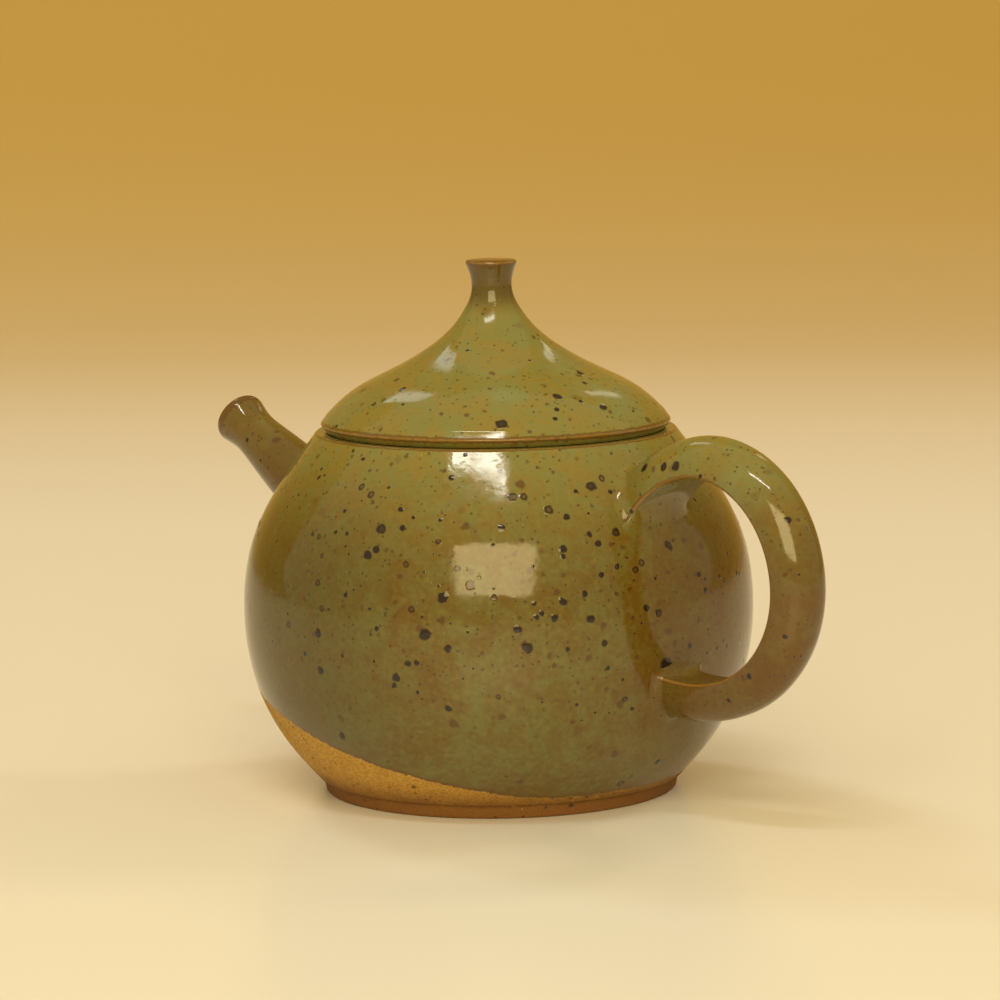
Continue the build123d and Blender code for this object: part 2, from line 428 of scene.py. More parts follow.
    def glaze_colour(self, graph: Graph, place: Socket, brown: float) -> Socket:
        """Colour of the glaze with its mottling, flecks, thin edges and iron spots, plus painted light on the upper
        parts and painted shade on the camera's left, towards the handle and on the knob's neck.
        """
        broad = graph.noise(place, 0.045, 2.0, 0.6)
        cloud = graph.noise(place, 0.21, 4.0, 0.8)
        fine = graph.noise(place, 1.1, 3.0)
        drift = graph.ramp(graph.noise(place, 0.24, 3.0, 1.0), 0.36, 0.64)
        colour = graph.blend(graph.math("MULTIPLY_ADD", graph.ramp(broad, 0.36, 0.66), 0.4,
                                        graph.math("MULTIPLY", drift, 0.6)), self.olive, self.green)
        colour = graph.blend(graph.ramp(cloud, 0.50, 0.74, 0.0, 0.45), colour, self.umber)
        colour = graph.blend(graph.ramp(fine, 0.45, 0.75, 0.0, 0.34), colour, self.umber)
        colour = graph.blend(graph.ramp(fine, 0.50, 0.28, 0.0, 0.22), colour, self.light)
        patch = graph.noise(place, 0.15, 3.0, 0.4)
        rise = graph.vector("DOT_PRODUCT", place, (0.0, 0.0, 1.0))
        # The upper body and lid turn lighter ochre and moss: partly the glaze's greener tone there, partly painted
        # light from above.
        high = graph.ramp(rise, 38, 64)
        upper = graph.blend(drift, self.light, self.moss)
        colour = graph.blend(graph.math("MULTIPLY", high, 0.85), colour, upper)
        pale = 0.0
        for centre, reach in self.pools:
            pale = graph.math("MAXIMUM", pale, self.near(graph, place, centre, reach))
        pale = graph.math("MULTIPLY", pale, graph.ramp(patch, 0.35, 0.62, 0.15, 0.85))
        colour = graph.blend(pale, colour, self.jade)
        # Painted shade: the lower body darkens towards the camera's left; (0.68, 0.73, 0) points to the camera's right.
        across = graph.vector("DOT_PRODUCT", place, (0.68, 0.73, 0.0))
        # Towards the handle, on the camera's right, the lower body turns umber: partly browner glaze, partly painted
        # shade from the handle.
        aside = graph.ramp(across, 8, 40, 0.0, 0.8)
        painted_left_shade = graph.math("MULTIPLY", graph.ramp(across, -8, -32, 0.0, 0.6), graph.math("SUBTRACT", 1.0, high))
        colour = graph.blend(painted_left_shade, colour, self.painted_shade)
        # Umber share: that right side, the piece's own browner glaze, and browner glaze near the knob that also darkens
        # its shaded neck.
        umber_and_handle_shade = graph.math("MULTIPLY_ADD", aside, graph.math("SUBTRACT", 1.0, high), brown)
        umber_and_handle_shade = graph.math("ADD", umber_and_handle_shade, graph.ramp(rise, 78, 85, 0.0, 0.45))
        # Painted shade on the knob's upright neck.
        colour = graph.blend(graph.ramp(rise, 79, 83, 0.0, 0.80), colour, self.painted_shade)
        umber_and_handle_shade = graph.math("MULTIPLY", umber_and_handle_shade, graph.ramp(cloud, 0.2, 0.7, 0.5, 1.0), clamp=True)
        colour = graph.blend(umber_and_handle_shade, colour, self.umber)
        sparse = graph.ramp(rise, 14, 27, 0.30, 1.0)
        stain = self.flecks(graph, place, 3.4, 0.34, 0.55, 0.20)
        colour = graph.blend(graph.math("MULTIPLY", stain, 0.42), colour, self.umber)
        small = graph.math("MULTIPLY", self.flecks(graph, place, 0.80, 0.36, 0.55), graph.math("MULTIPLY", sparse, 0.6))
        colour = graph.blend(small, colour, self.freckle)
        middle = graph.math("MULTIPLY", self.flecks(graph, place, 1.75, 0.30, 0.55, 0.14), 0.75)
        middle = graph.math("MULTIPLY", middle, sparse)
        colour = graph.blend(middle, colour, self.chestnut)
        wide = graph.math("MULTIPLY", self.flecks(graph, place, 3.1, 0.27, 0.60, 0.10), 0.72)
        colour = graph.blend(wide, colour, self.chestnut)
        edge = self.attribute(graph, "edge")
        ragged_edge = graph.math("MULTIPLY_ADD", fine, 0.9, edge)
        colour = graph.blend(graph.ramp(ragged_edge, 0.52, 0.90, 0.0, 0.8), colour, self.umber)
        colour = graph.blend(graph.ramp(ragged_edge, 1.08, 1.34), colour, self.rust)
        spot = self.attribute(graph, "spot")
        ragged = graph.math("MULTIPLY_ADD", graph.math("SUBTRACT", fine, 0.5), 0.5, spot)
        ring = self.attribute(graph, "ring")
        solid = graph.ramp(ragged, 0.06, 0.62)
        hollow = graph.math("MULTIPLY", ring, graph.ramp(spot, 0.70, 1.0, 0.0, 0.6))
        solid = graph.math("MULTIPLY", solid, graph.math("SUBTRACT", 1.0, hollow))
        return graph.blend(solid, colour, graph.blend(ring, self.iron, self.freckle))

    def glaze_relief(self, graph: Graph, place: Socket) -> Socket:
        """Height of the glaze's skin in millimetres: slow waves, orange peel and pinholes."""
        waves = graph.math("MULTIPLY", graph.noise(place, 0.14, 1.0), 0.055)
        waves = graph.math("MULTIPLY_ADD", graph.noise(place, 0.42, 1.0, 0.5), 0.014, waves)
        peel = graph.math("MULTIPLY_ADD", graph.noise(place, 1.3, 2.0), 0.007, waves)
        pits = self.flecks(graph, place, 1.9, 0.20, 0.30)
        return graph.math("MULTIPLY_ADD", pits, -0.035, peel)

    def clay(self, graph: Graph, place: Socket) -> tuple[Socket, Socket]:
        """Colour and grain height of the bare clay, darker and redder towards the table."""
        grit = graph.noise(place, 2.4, 4.0)
        broad = graph.noise(place, 0.25, 2.0)
        colour = graph.blend(graph.ramp(grit, 0.35, 0.65), self.ochre, self.sand)
        colour = graph.blend(graph.ramp(broad, 0.45, 0.75, 0.0, 0.45), colour, self.ochre)
        rise = graph.vector("DOT_PRODUCT", place, (0.0, 0.0, 1.0))
        low = graph.ramp(graph.math("MULTIPLY_ADD", broad, 3.0, rise), 8.2, 2.6, 0.0, 0.92)
        colour = graph.blend(low, colour, self.burnt)
        dark = graph.math("MAXIMUM", self.flecks(graph, place, 1.0, 0.30, 0.45), self.flecks(graph, place, 2.6, 0.24, 0.4))
        colour = graph.blend(graph.math("MULTIPLY", dark, 0.75), colour, self.freckle)
        pale = self.flecks(graph, place, 0.8, 0.30, 0.22)
        colour = graph.blend(graph.math("MULTIPLY", pale, 0.35), colour, self.sand)
        height = graph.math("MULTIPLY", grit, 0.16)
        height = graph.math("MULTIPLY_ADD", dark, -0.10, height)
        return colour, height


# ---------------------------------------------------------------- turned pieces


@dataclass(frozen=True)
class Section:
    """Half section of a turned piece.

    Attributes:
        points: Rows of (radius, height) in millimetres.
        inside: 1 where the surface is inside the pot and glazed all over.
        edge: 1 where the glaze runs thin over an edge.
    """

    points: Points
    inside: Points
    edge: Points

    @staticmethod
    def of(*runs: tuple[Points, float]) -> "Section":
        """Join runs of points; each comes with its share of inside.

        Args:
            runs: Points and their inside value, in order along the section.

        Returns:
            The section, with no worn edges yet.
        """
        points = np.vstack([run for run, _ in runs])
        inside = np.concatenate([np.full(len(run), value) for run, value in runs])
        return Section(points, inside, np.zeros(len(points)))

    def worn(self, *edges: tuple[float, float, float]) -> "Section":
        """Mark thin glaze near some points, each as (radius, height, reach)."""
        mark = self.edge.copy()
        for radius, height, reach in edges:
            away = np.linalg.norm(self.points - (radius, height), axis=1)
            mark = np.maximum(mark, np.clip(1 - away / reach, 0, 1))
        return Section(self.points, self.inside, mark)


def revolve_tree() -> bpy.types.NodeTree:
    """Tree that turns a half section round the Z axis.

    Its input geometry is a mesh of loose points, with the radius in X and the height in Z.

    Returns:
        The tree.
    """
    graph, start = new_tree(
        "Turn on the wheel",
        {
            "Around": "NodeSocketInt",
            "Wobble": "NodeSocketFloat",
            "Lean": "NodeSocketVector",
            "Material": "NodeSocketMaterial",
        },
    )
    section = start.outputs["Geometry"]
    size = graph.add("GeometryNodeAttributeDomainSize", {"Geometry": section}, component="MESH")
    count = size.outputs["Point Count"]
    across = graph.math("ADD", start.outputs["Around"], 1.0)
    grid = graph.add(
        "GeometryNodeMeshGrid", {"Size X": 1.0, "Size Y": 1.0, "Vertices X": across, "Vertices Y": count}
    )
    here = graph.add("GeometryNodeInputPosition").outputs[0]
    parts = graph.add("ShaderNodeSeparateXYZ", {0: here})
    turn = graph.math("MULTIPLY", graph.math("ADD", parts.outputs[0], 0.5), 2 * math.pi)
    steps = graph.math("SUBTRACT", count, 1.0)
    row = graph.math("ROUND", graph.math("MULTIPLY", graph.math("ADD", parts.outputs[1], 0.5), steps))

    def sampled(value: Socket, kind: str) -> Socket:
        """Value of the section's point that a grid vertex belongs to."""
        node = graph.add("GeometryNodeSampleIndex", {"Geometry": section, "Index": row}, data_type=kind)
        graph.feed(node.inputs["Value"], value)
        return node.outputs["Value"]

    kept = grid.outputs[0]
    for name in ("inside", "edge"):
        found = graph.add("GeometryNodeInputNamedAttribute", {"Name": name}, data_type="FLOAT")
        kept = graph.add(
            "GeometryNodeStoreNamedAttribute",
            {"Geometry": kept, "Name": name, "Value": sampled(found.outputs[0], "FLOAT")},
            data_type="FLOAT",
            domain="POINT",
        ).outputs[0]
    place = sampled(graph.add("GeometryNodeInputPosition").outputs[0], "FLOAT_VECTOR")
    turned = graph.add("ShaderNodeVectorRotate", {"Vector": place, "Angle": turn}, rotation_type="Z_AXIS")
    formed = graph.add("GeometryNodeSetPosition", {"Geometry": kept, "Position": turned.outputs[0]})
    closed = graph.add("GeometryNodeMergeByDistance", {"Geometry": formed.outputs[0], "Distance": 2e-6})

    wave = graph.noise(graph.vector("SCALE", here, 1 / MM), 0.055, 1.0)
    inward = graph.math("MULTIPLY", wave, graph.math("MULTIPLY", start.outputs["Wobble"], -1.0))
    flat = graph.vector("MULTIPLY", here, (1.0, 1.0, 0.0))
    shift = graph.vector("SCALE", graph.vector("NORMALIZE", flat), inward)
    rise = graph.vector("DOT_PRODUCT", here, (0.0, 0.0, 1.0))
    share = graph.ramp(rise, 66 * MM, 92 * MM)
    shift = graph.vector("ADD", shift, graph.vector("SCALE", start.outputs["Lean"], share))
    moved = graph.add("GeometryNodeSetPosition", {"Geometry": closed.outputs[0], "Offset": shift})
    return end_tree(graph, moved.outputs[0], start.outputs["Material"])


def pierce_tree() -> bpy.types.NodeTree:
    """Tree that drills round holes: one at each point of an object, along the point's aim.

    Returns:
        The tree.
    """
    graph, start = new_tree(
        "Pierce",
        {
            "Holes": "NodeSocketObject",
            "Radius": "NodeSocketFloat",
            "Depth": "NodeSocketFloat",
            "Material": "NodeSocketMaterial",
        },
    )
    drill = graph.add(
        "GeometryNodeMeshCylinder",
        {"Vertices": 24, "Radius": start.outputs["Radius"], "Depth": start.outputs["Depth"]},
    )
    holes = graph.add("GeometryNodeObjectInfo", {"Object": start.outputs["Holes"]})
    aim = graph.add("GeometryNodeInputNamedAttribute", {"Name": "aim"}, data_type="FLOAT_VECTOR")
    turned = graph.add("FunctionNodeAlignRotationToVector", {"Vector": aim.outputs[0]}, axis="Z")
    placed = graph.add(
        "GeometryNodeInstanceOnPoints",
        {
            "Points": holes.outputs["Geometry"],
            "Instance": drill.outputs["Mesh"],
            "Rotation": turned.outputs[0],
        },
    )
    drills = graph.add("GeometryNodeRealizeInstances", {"Geometry": placed.outputs[0]})
    cut = graph.add("GeometryNodeMeshBoolean", operation="DIFFERENCE", solver="EXACT")
    graph.tree.links.new(start.outputs["Geometry"], cut.inputs[0])
    graph.tree.links.new(drills.outputs[0], cut.inputs[1])
    return end_tree(graph, cut.outputs["Mesh"], start.outputs["Material"])


def spots_tree() -> bpy.types.NodeTree:
    """Tree that lays iron spots on a piece: those of an object's points, and scattered smaller ones.

    Returns:
        The tree.
    """
    graph, start = new_tree(
        "Iron spots",
        {
            "Stamp": "NodeSocketObject",
            "Chosen": "NodeSocketObject",
            "Density": "NodeSocketFloat",
            "Spacing": "NodeSocketFloat",
            "Smallest": "NodeSocketFloat",
            "Largest": "NodeSocketFloat",
            "Seed": "NodeSocketInt",
            "Material": "NodeSocketMaterial",
        },
    )
    base, seed = start.outputs["Geometry"], start.outputs["Seed"]
    here = graph.add("GeometryNodeInputPosition").outputs[0]
    inside = graph.add("GeometryNodeInputNamedAttribute", {"Name": "inside"}, data_type="FLOAT")
    glazed = DipLine().above(graph, graph.vector("SCALE", here, 1 / MM))
    outside = graph.math("MULTIPLY_ADD", inside.outputs[0], -100.0, glazed)
    allowed = graph.add("FunctionNodeCompare", {"A": outside, "B": 13.0}, data_type="FLOAT")
    scattered = graph.add(
        "GeometryNodeDistributePointsOnFaces",
        {
            "Mesh": base,
            "Selection": allowed.outputs[0],
            "Distance Min": start.outputs["Spacing"],
            "Density Max": start.outputs["Density"],
            "Seed": seed,
        },
        distribute_method="POISSON",
    )
    chance = graph.add("FunctionNodeRandomValue", {"Min": 0.0, "Max": 1.0, "Seed": seed}, data_type="FLOAT")
    drawn = next(item for item in chance.outputs if item.enabled and item.type == "VALUE")
    skew = graph.math("POWER", drawn, 2.1)
    range_ = graph.math("SUBTRACT", start.outputs["Largest"], start.outputs["Smallest"])
    radius = graph.math("MULTIPLY_ADD", skew, range_, start.outputs["Smallest"])
    other = graph.math("ADD", seed, 7.0)
    lot = graph.add("FunctionNodeRandomValue", {"Min": 0.0, "Max": 1.0, "Seed": other}, data_type="FLOAT")
    ring = graph.ramp(next(item for item in lot.outputs if item.enabled and item.type == "VALUE"), 0.72, 0.95)

    def stored(geometry: Socket, name: str, value: Any) -> Socket:
        """Write a number on every point."""
        return graph.add(
            "GeometryNodeStoreNamedAttribute",
            {"Geometry": geometry, "Name": name, "Value": value},
            data_type="FLOAT",
            domain="POINT",
        ).outputs[0]

    def read(name: str) -> Socket:
        """Read a named number."""
        return graph.add("GeometryNodeInputNamedAttribute", {"Name": name}, data_type="FLOAT").outputs[0]

    loose = stored(stored(scattered.outputs["Points"], "breadth", radius), "ring", ring)
    chosen = graph.add("GeometryNodeObjectInfo", {"Object": start.outputs["Chosen"]}).outputs["Geometry"]
    picked = graph.add("GeometryNodeMeshToPoints", {"Mesh": chosen}).outputs[0]
    every = graph.add("GeometryNodeJoinGeometry")
    graph.tree.links.new(loose, every.inputs[0])
    graph.tree.links.new(picked, every.inputs[0])

    def skin(value: Socket, at: Socket) -> Socket:
        """Sample the piece's surface nearest to a place."""
        node = graph.add("GeometryNodeSampleNearestSurface", {"Mesh": base}, data_type="FLOAT_VECTOR")
        graph.feed(node.inputs["Value"], value)
        graph.feed(node.inputs["Sample Position"], at)
        return node.outputs["Value"]

    normal = graph.add("GeometryNodeInputNormal").outputs[0]
    turned = graph.add("FunctionNodeAlignRotationToVector", {"Vector": skin(normal, here)}, axis="Z")
    spin = graph.add(
        "FunctionNodeRandomValue", {"Min": 0.0, "Max": 2 * math.pi, "Seed": seed}, data_type="FLOAT"
    )
    angle = next(item for item in spin.outputs if item.enabled and item.type == "VALUE")
    euler = graph.add("ShaderNodeCombineXYZ", {2: angle})
    rolled = graph.add(
        "FunctionNodeRotateRotation", {0: turned.outputs[0], 1: euler.outputs[0]}, rotation_space="LOCAL"
    )
    stamp = graph.add("GeometryNodeObjectInfo", {"Object": start.outputs["Stamp"]})
    placed = graph.add(
        "GeometryNodeInstanceOnPoints",
        {
            "Points": every.outputs[0],
            "Instance": stamp.outputs["Geometry"],
            "Rotation": rolled.outputs[0],
            "Scale": read("breadth"),
        },
    )
    real = graph.add("GeometryNodeRealizeInstances", {"Geometry": placed.outputs[0]})
    wobbled = graph.add(
        "ShaderNodeTexNoise", {"Vector": graph.vector("SCALE", here, 1 / MM), "Scale": 0.9, "Detail": 1.0}
    )
    stray = graph.vector("SUBTRACT", wobbled.outputs[1], (0.5, 0.5, 0.5))
    stray = graph.vector("SCALE", stray, graph.math("MULTIPLY", read("breadth"), 0.9))
    nudged = graph.add("GeometryNodeSetPosition", {"Geometry": real.outputs[0], "Offset": stray})
    pit = graph.math("MULTIPLY", read("ring"), graph.ramp(read("spot"), 0.3, 1.0, 0.0, -0.09))
    height = graph.math("ADD", read("lift"), pit)
    lift = graph.math("MULTIPLY", height, graph.math("MINIMUM", read("breadth"), 0.9 * MM))
    touch = skin(here, here)
    raised = graph.vector("ADD", touch, graph.vector("SCALE", skin(normal, here), lift))
    laid = graph.add("GeometryNodeSetPosition", {"Geometry": nudged.outputs[0], "Position": raised})
    whole = graph.add("GeometryNodeJoinGeometry")
    graph.tree.links.new(laid.outputs[0], whole.inputs[0])
    graph.tree.links.new(base, whole.inputs[0])
    return end_tree(graph, whole.outputs[0], start.outputs["Material"])


@dataclass(frozen=True)
class SpotStamp:
    """The shape of one iron spot of radius 1: a low closed lens whose rim lies on the glaze."""

    rings: tuple = (
        (1.0, 0.004, 0.0), (0.84, 0.030, 0.28), (0.62, 0.065, 0.62), (0.38, 0.090, 0.86), (0.15, 0.100, 1.0))
    sides: int = 12

    def build(self) -> bpy.types.Object:
        """Make the stamp's mesh.

        Returns:
            A hidden object to instance.
        """
        corners, faces, lift, spot = [], [], [], []
        for radius, height, share in self.rings:
            for side in range(self.sides):
                turn = 2 * math.pi * side / self.sides
                corners.append((radius * math.cos(turn), radius * math.sin(turn), 0.0))
                lift.append(height)
                spot.append(share)
        for ring in range(len(self.rings) - 1):
            for side in range(self.sides):
                a, b = ring * self.sides + side, ring * self.sides + (side + 1) % self.sides
                faces.append((a, b, b + self.sides, a + self.sides))
        last = (len(self.rings) - 1) * self.sides
        faces.append(tuple(range(last, last + self.sides)))
        under = len(corners)
        for side in range(self.sides):
            turn = 2 * math.pi * side / self.sides
            corners.append((0.9 * math.cos(turn), 0.9 * math.sin(turn), 0.0))
            lift.append(-0.12)
            spot.append(0.0)
        for side in range(self.sides):
            after = (side + 1) % self.sides
            faces.append((side, under + side, under + after, after))
        faces.append(tuple(reversed(range(under, under + self.sides))))
        mesh = bpy.data.meshes.new("spot_stamp")
        mesh.from_pydata(corners, [], faces)
        store(mesh, "lift", np.array(lift))
        store(mesh, "spot", np.array(spot))
        return helper_object("spot_stamp", mesh)


def helper_object(name: str, mesh: bpy.types.Mesh) -> bpy.types.Object:
    """Object that trees read and that is deleted before the end."""
    helper = new_object(name, mesh)
    helper.hide_render = True
    return helper


# ---------------------------------------------------------------- the pieces

IMAGE_RIGHT = Vector((math.cos(math.radians(47)), math.sin(math.radians(47)), 0.0))
# The knob stands a little to one side of the lid's axis.
LEAN = tuple(-0.42 * MM * IMAGE_RIGHT)


@dataclass
class Workshop:
    """Trees, finishes and helpers that the pieces share."""

    finish: StonewareFinish = field(default_factory=StonewareFinish)
    around: int = 256
    wobble: float = 0.07 * MM

    def __post_init__(self) -> None:
        """Build the trees, the materials and the stamp once."""
        self.revolve = revolve_tree()
        self.pierce = pierce_tree()
        self.spots = spots_tree()
        self.stamp = SpotStamp().build()
        self.glaze = self.finish.build("celadon_glaze")
        self.dipped = self.finish.build("celadon_over_clay", DipLine())
        self.brown = self.finish.build("celadon_brown", brown=0.7)
        self.clay = self.finish.build_clay("bare_clay")
        self.helpers = [self.stamp]

    def turn(self, name: str, section: Section, material: bpy.types.Material) -> bpy.types.Object:
        """Turn a half section into a closed solid.

        Args:
            name: The object's name.
            section: Its half section.
            material: Its finish.

        Returns:
            The object with a plain mesh.
        """
        mesh = bpy.data.meshes.new(name)
        rows = np.insert(section.points * MM, 1, 0.0, axis=1)
        mesh.from_pydata([tuple(row) for row in rows], [], [])
        store(mesh, "inside", section.inside)
        store(mesh, "edge", section.edge)
        piece = new_object(name, mesh)
        values = {"Around": self.around, "Wobble": self.wobble, "Lean": LEAN, "Material": material}
        apply_tree(piece, self.revolve, values)
        self.close_up(piece)
        return piece

    def close_up(self, piece: bpy.types.Object) -> None:
        """Face a piece outwards and keep its crisp edges crisp."""
        face_outwards(piece.data)
        piece.data.set_sharp_from_angle(angle=math.radians(38))

    def drill(self, piece: bpy.types.Object, holes: list[tuple[Vector, Vector]], radius: float,
              depth: float) -> None:
        """Drill round holes into a piece.

        Args:
            piece: The piece.
            holes: Centre and direction of each hole, in millimetres.
            radius: Radius of the holes.
            depth: Length of the drill, half of it on each side of the centre.
        """
        mesh = bpy.data.meshes.new(f"{piece.name}_holes")
        mesh.from_pydata([tuple(centre * MM) for centre, _ in holes], [], [])
        layer = mesh.attributes.new("aim", "FLOAT_VECTOR", "POINT")
        for index, (_, aim) in enumerate(holes):
            layer.data[index].vector = aim
        helper = helper_object(mesh.name, mesh)
        self.helpers.append(helper)
        material = piece.data.materials[0]
        values = {"Holes": helper, "Radius": radius * MM, "Depth": depth * MM, "Material": material}
        apply_tree(piece, self.pierce, values)
        self.close_up(piece)

    def speckle(self, piece: bpy.types.Object, chosen: "SpotList", density: float, seed: int,
                largest: float = 0.75) -> None:
        """Lay iron spots on a piece.

        Args:
            piece: The piece.
            chosen: Spots at given places.
            density: Scattered spots per square centimetre.
            seed: Seed of the scattered ones.
            largest: Radius of the largest scattered one in millimetres.
        """
        helper = chosen.build(piece)
        self.helpers.append(helper)
        values = {
            "Stamp": self.stamp,
            "Chosen": helper,
            "Density": density * 1e4,
            "Spacing": 1.1 * MM,
            "Smallest": 0.20 * MM,
            "Largest": largest * MM,
            "Seed": seed,
            "Material": piece.data.materials[0],
        }
        apply_tree(piece, self.spots, values)
        piece.data.set_sharp_from_angle(angle=math.radians(38))

    def tidy_up(self) -> None:
        """Delete the helpers."""
        for helper in self.helpers:
            mesh = helper.data
            bpy.data.objects.remove(helper)
            bpy.data.meshes.remove(mesh)


class Throw(Enum):
    """How a chosen spot finds the skin of its piece."""

    INWARD = "level, towards the axis: rows start with azimuth and height"
    DOWN = "straight down: rows start with azimuth and distance from the axis"
    ACROSS = "along +Y: rows start with X and Z"


@dataclass(frozen=True)
class SpotList:
    """Iron spots at given places.

    Attributes:
        rows: (first place, second place, radius, how hollow it is), in degrees and millimetres.
        throw: What the two places mean.
    """

    rows: tuple
    throw: Throw = Throw.INWARD

    def ray(self, first: float, second: float) -> tuple[Vector, Vector]:
        """Start and direction of the ray that finds a spot's place."""
        turn = math.radians(first)
        if self.throw is Throw.INWARD:
            return Vector((70 * math.cos(turn), 70 * math.sin(turn), second)), -Vector(
                (math.cos(turn), math.sin(turn), 0)
            )
        if self.throw is Throw.DOWN:
            return Vector((second * math.cos(turn), second * math.sin(turn), 99)), Vector((0, 0, -1))
        return Vector((first, -40, second)), Vector((0, 1, 0))

    def build(self, piece: bpy.types.Object) -> bpy.types.Object:
        """Make the points on a piece's skin that the spots tree reads.

        Args:
            piece: The piece.

        Returns:
            The helper object.
        """
        mesh = piece.data
        skin = BVHTree.FromPolygons(
            [corner.co for corner in mesh.vertices], [face.vertices for face in mesh.polygons]
        )
        found = []
        for first, second, radius, ring in self.rows:
            start, aim = self.ray(first, second)
            hit = skin.ray_cast(start * MM, aim)[0]
            if hit is not None:
                found.append((tuple(hit), radius * MM, ring))
        points = bpy.data.meshes.new(f"{piece.name}_spots")
        points.from_pydata([place for place, _, _ in found], [], [])
        store(points, "breadth", np.array([radius for _, radius, _ in found]))
        store(points, "ring", np.array([ring for _, _, ring in found]))
        return helper_object(points.name, points)


@dataclass
class PotBody:
    """Wall, foot ring and lid seat of the pot."""

    shop: Workshop
    side: list = field(default_factory=lambda: [
        (30.4, 2.4), (35.2, 8), (40.5, 18), (42.45, 30.5), (40.5, 43), (35, 53), (29.9, 60)])
    cavity: list = field(default_factory=lambda: [
        (20, 6.2), (31.6, 9.8), (37.2, 18.6), (39.2, 30.5), (37.3, 42.3), (32.4, 51.2), (28.2, 57.6)])
    seat: float = 57.6
    rim: float = 60.0
    rim_radius: float = 29.9
    mouth: float = 24.3
    foot_height: float = 2.4

    def __post_init__(self) -> None:
        """Draw the outer side once, for the pieces that meet it."""
        line = smooth_line(self.side, 0.25)
        split = int(np.argmin(np.abs(line[:, 1] - self.seat)))
        share = (self.seat - line[split - 1, 1]) / (line[split + 1, 1] - line[split - 1, 1])
        line[split] = line[split - 1] + share * (line[split + 1] - line[split - 1])
        self.outline, self.split = line, split

    def away(self, places: Points) -> Points:
        """Signed distance of points from the pot's outside, positive in the open.

        Args:
            places: Rows of X, Y, Z in millimetres.

        Returns:
            One distance per row.
        """
        flat = np.column_stack([np.hypot(places[..., 0].ravel(), places[..., 1].ravel()),
                                places[..., 2].ravel()])
        start, step = self.outline[:-1], np.diff(self.outline, axis=0)
        share = np.einsum("pij,ij->pi", flat[:, None] - start, step) / (step**2).sum(1)
        foot = start + np.clip(share, 0, 1)[..., None] * step
        gap = flat[:, None] - foot
        near = np.argmin((gap**2).sum(2), axis=1)
        pick = np.arange(len(flat))
        across = step[near, 0] * gap[pick, near, 1] - step[near, 1] * gap[pick, near, 0]
        length = np.linalg.norm(gap[pick, near], axis=1)
        return (-np.sign(across) * length).reshape(places.shape[:-1])

    def normal(self, places: Points) -> Points:
        """Outward directions of the pot's outside at points near it."""
        out = np.empty_like(places)
        for axis in range(3):
            step = np.zeros(3)
            step[axis] = 0.05
            out[..., axis] = self.away(places + step) - self.away(places - step)
        return out / np.linalg.norm(out, axis=-1, keepdims=True)

    def build(self) -> None:
        """Make the three pieces and bind them to the pot."""
        outer = self.outline[::2] if self.split % 2 == 0 else self.outline[1::2]
        outer = outer[outer[:, 1] < self.seat - 0.3]
        top = np.array([[self.outline[self.split, 0], self.seat]])
        near = np.vstack([top[0] * (1 - s) + outer[-1] * s for s in (0.5, 0.2, 0.06)])
        inner = smooth_line(self.cavity, 1.0)[::-1]
        wall = Section.of(
            (straight((0, 2.4), (self.side[0][0], 2.4), 24), 0.0),
            (outer, 0.0),
            (near, 0.0),
            (top, 0.0),
            (straight((self.outline[self.split, 0], self.seat), tuple(inner[0]), 8)[1:], 1.0),
            (inner, 1.0),
            (straight(tuple(inner[-1]), (0, 6.2), 16)[1:], 1.0),
            (np.array([[0, 6.2]]), 1.0),
        )
        piece = self.shop.turn("pot_wall", wall, self.shop.dipped)
        root, axis = Vector((-40.9, 0, 42.1)), Spout.direction()
        self.shop.drill(piece, [(root - axis * 2, axis)], 5.4, 16)
        self.shop.speckle(piece, SpotList(self.spots()), 3.4, 4)
        bind(piece, Body.POT, Slot.GLAZE, "body_wall")

        upper = self.outline[self.split + 1 :]
        upper = upper[upper[:, 1] < self.rim - 0.15]
        close = np.vstack([top[0] * (1 - s) + upper[0] * s for s in (0.06, 0.2, 0.5)])
        cut = Section.of(
            (np.array([[inner[0][0], self.seat]]), 1.0),
            (straight((inner[0][0], self.seat), tuple(top[0]), 8)[1:], 1.0),
            (top, 0.0),
            (close, 0.0),
            (upper, 0.0),
            (np.array([[self.rim_radius - 0.02, self.rim - 0.06], [self.rim_radius - 0.12, self.rim]]), 0.0),
            (straight((self.rim_radius - 0.4, self.rim), (self.mouth + 0.35, self.rim), 12), 1.0),
            (rounded((self.mouth + 0.35, self.rim - 0.35), 0.35, 90, 180, 7), 1.0),
            (straight((self.mouth, self.rim - 0.5), (self.mouth, self.seat + 0.6), 4), 1.0),
            (straight((self.mouth, self.seat + 0.4), (self.mouth + 0.6, self.seat), 4), 1.0),
            (np.array([[inner[0][0], self.seat]]), 1.0),
        ).worn((self.rim_radius, self.rim, 0.5), (self.mouth, self.rim, 0.9))
        seat = self.shop.turn("seat_ring", cut, self.shop.glaze)
        self.shop.speckle(seat, SpotList(((-86, 58, 0.5, 0.0), (-92, 59, 0.5, 0.6))), 1.2, 9)
        bind(seat, Body.POT, Slot.GLAZE, "lid_seat")

        foot = Section.of(
            (straight((29.7, self.foot_height), (29.42, 0.5), 6), 0.0),
            (rounded((28.9, 0.5), 0.5, 0, -90, 7), 0.0),
            (straight((28.6, 0), (25.2, 0), 6), 0.0),
            (rounded((24.9, 0.5), 0.5, -90, -180, 7), 0.0),
            (straight((24.4, 0.6), (23.6, self.foot_height), 6), 0.0),
            (straight((23.6, self.foot_height), (29.7, self.foot_height), 8), 0.0),
            (np.array([[29.7, self.foot_height]]), 0.0),
        )
        ring = self.shop.turn("foot", foot, self.shop.clay)
        bind(ring, Body.POT, Slot.CLAY, "foot_ring")

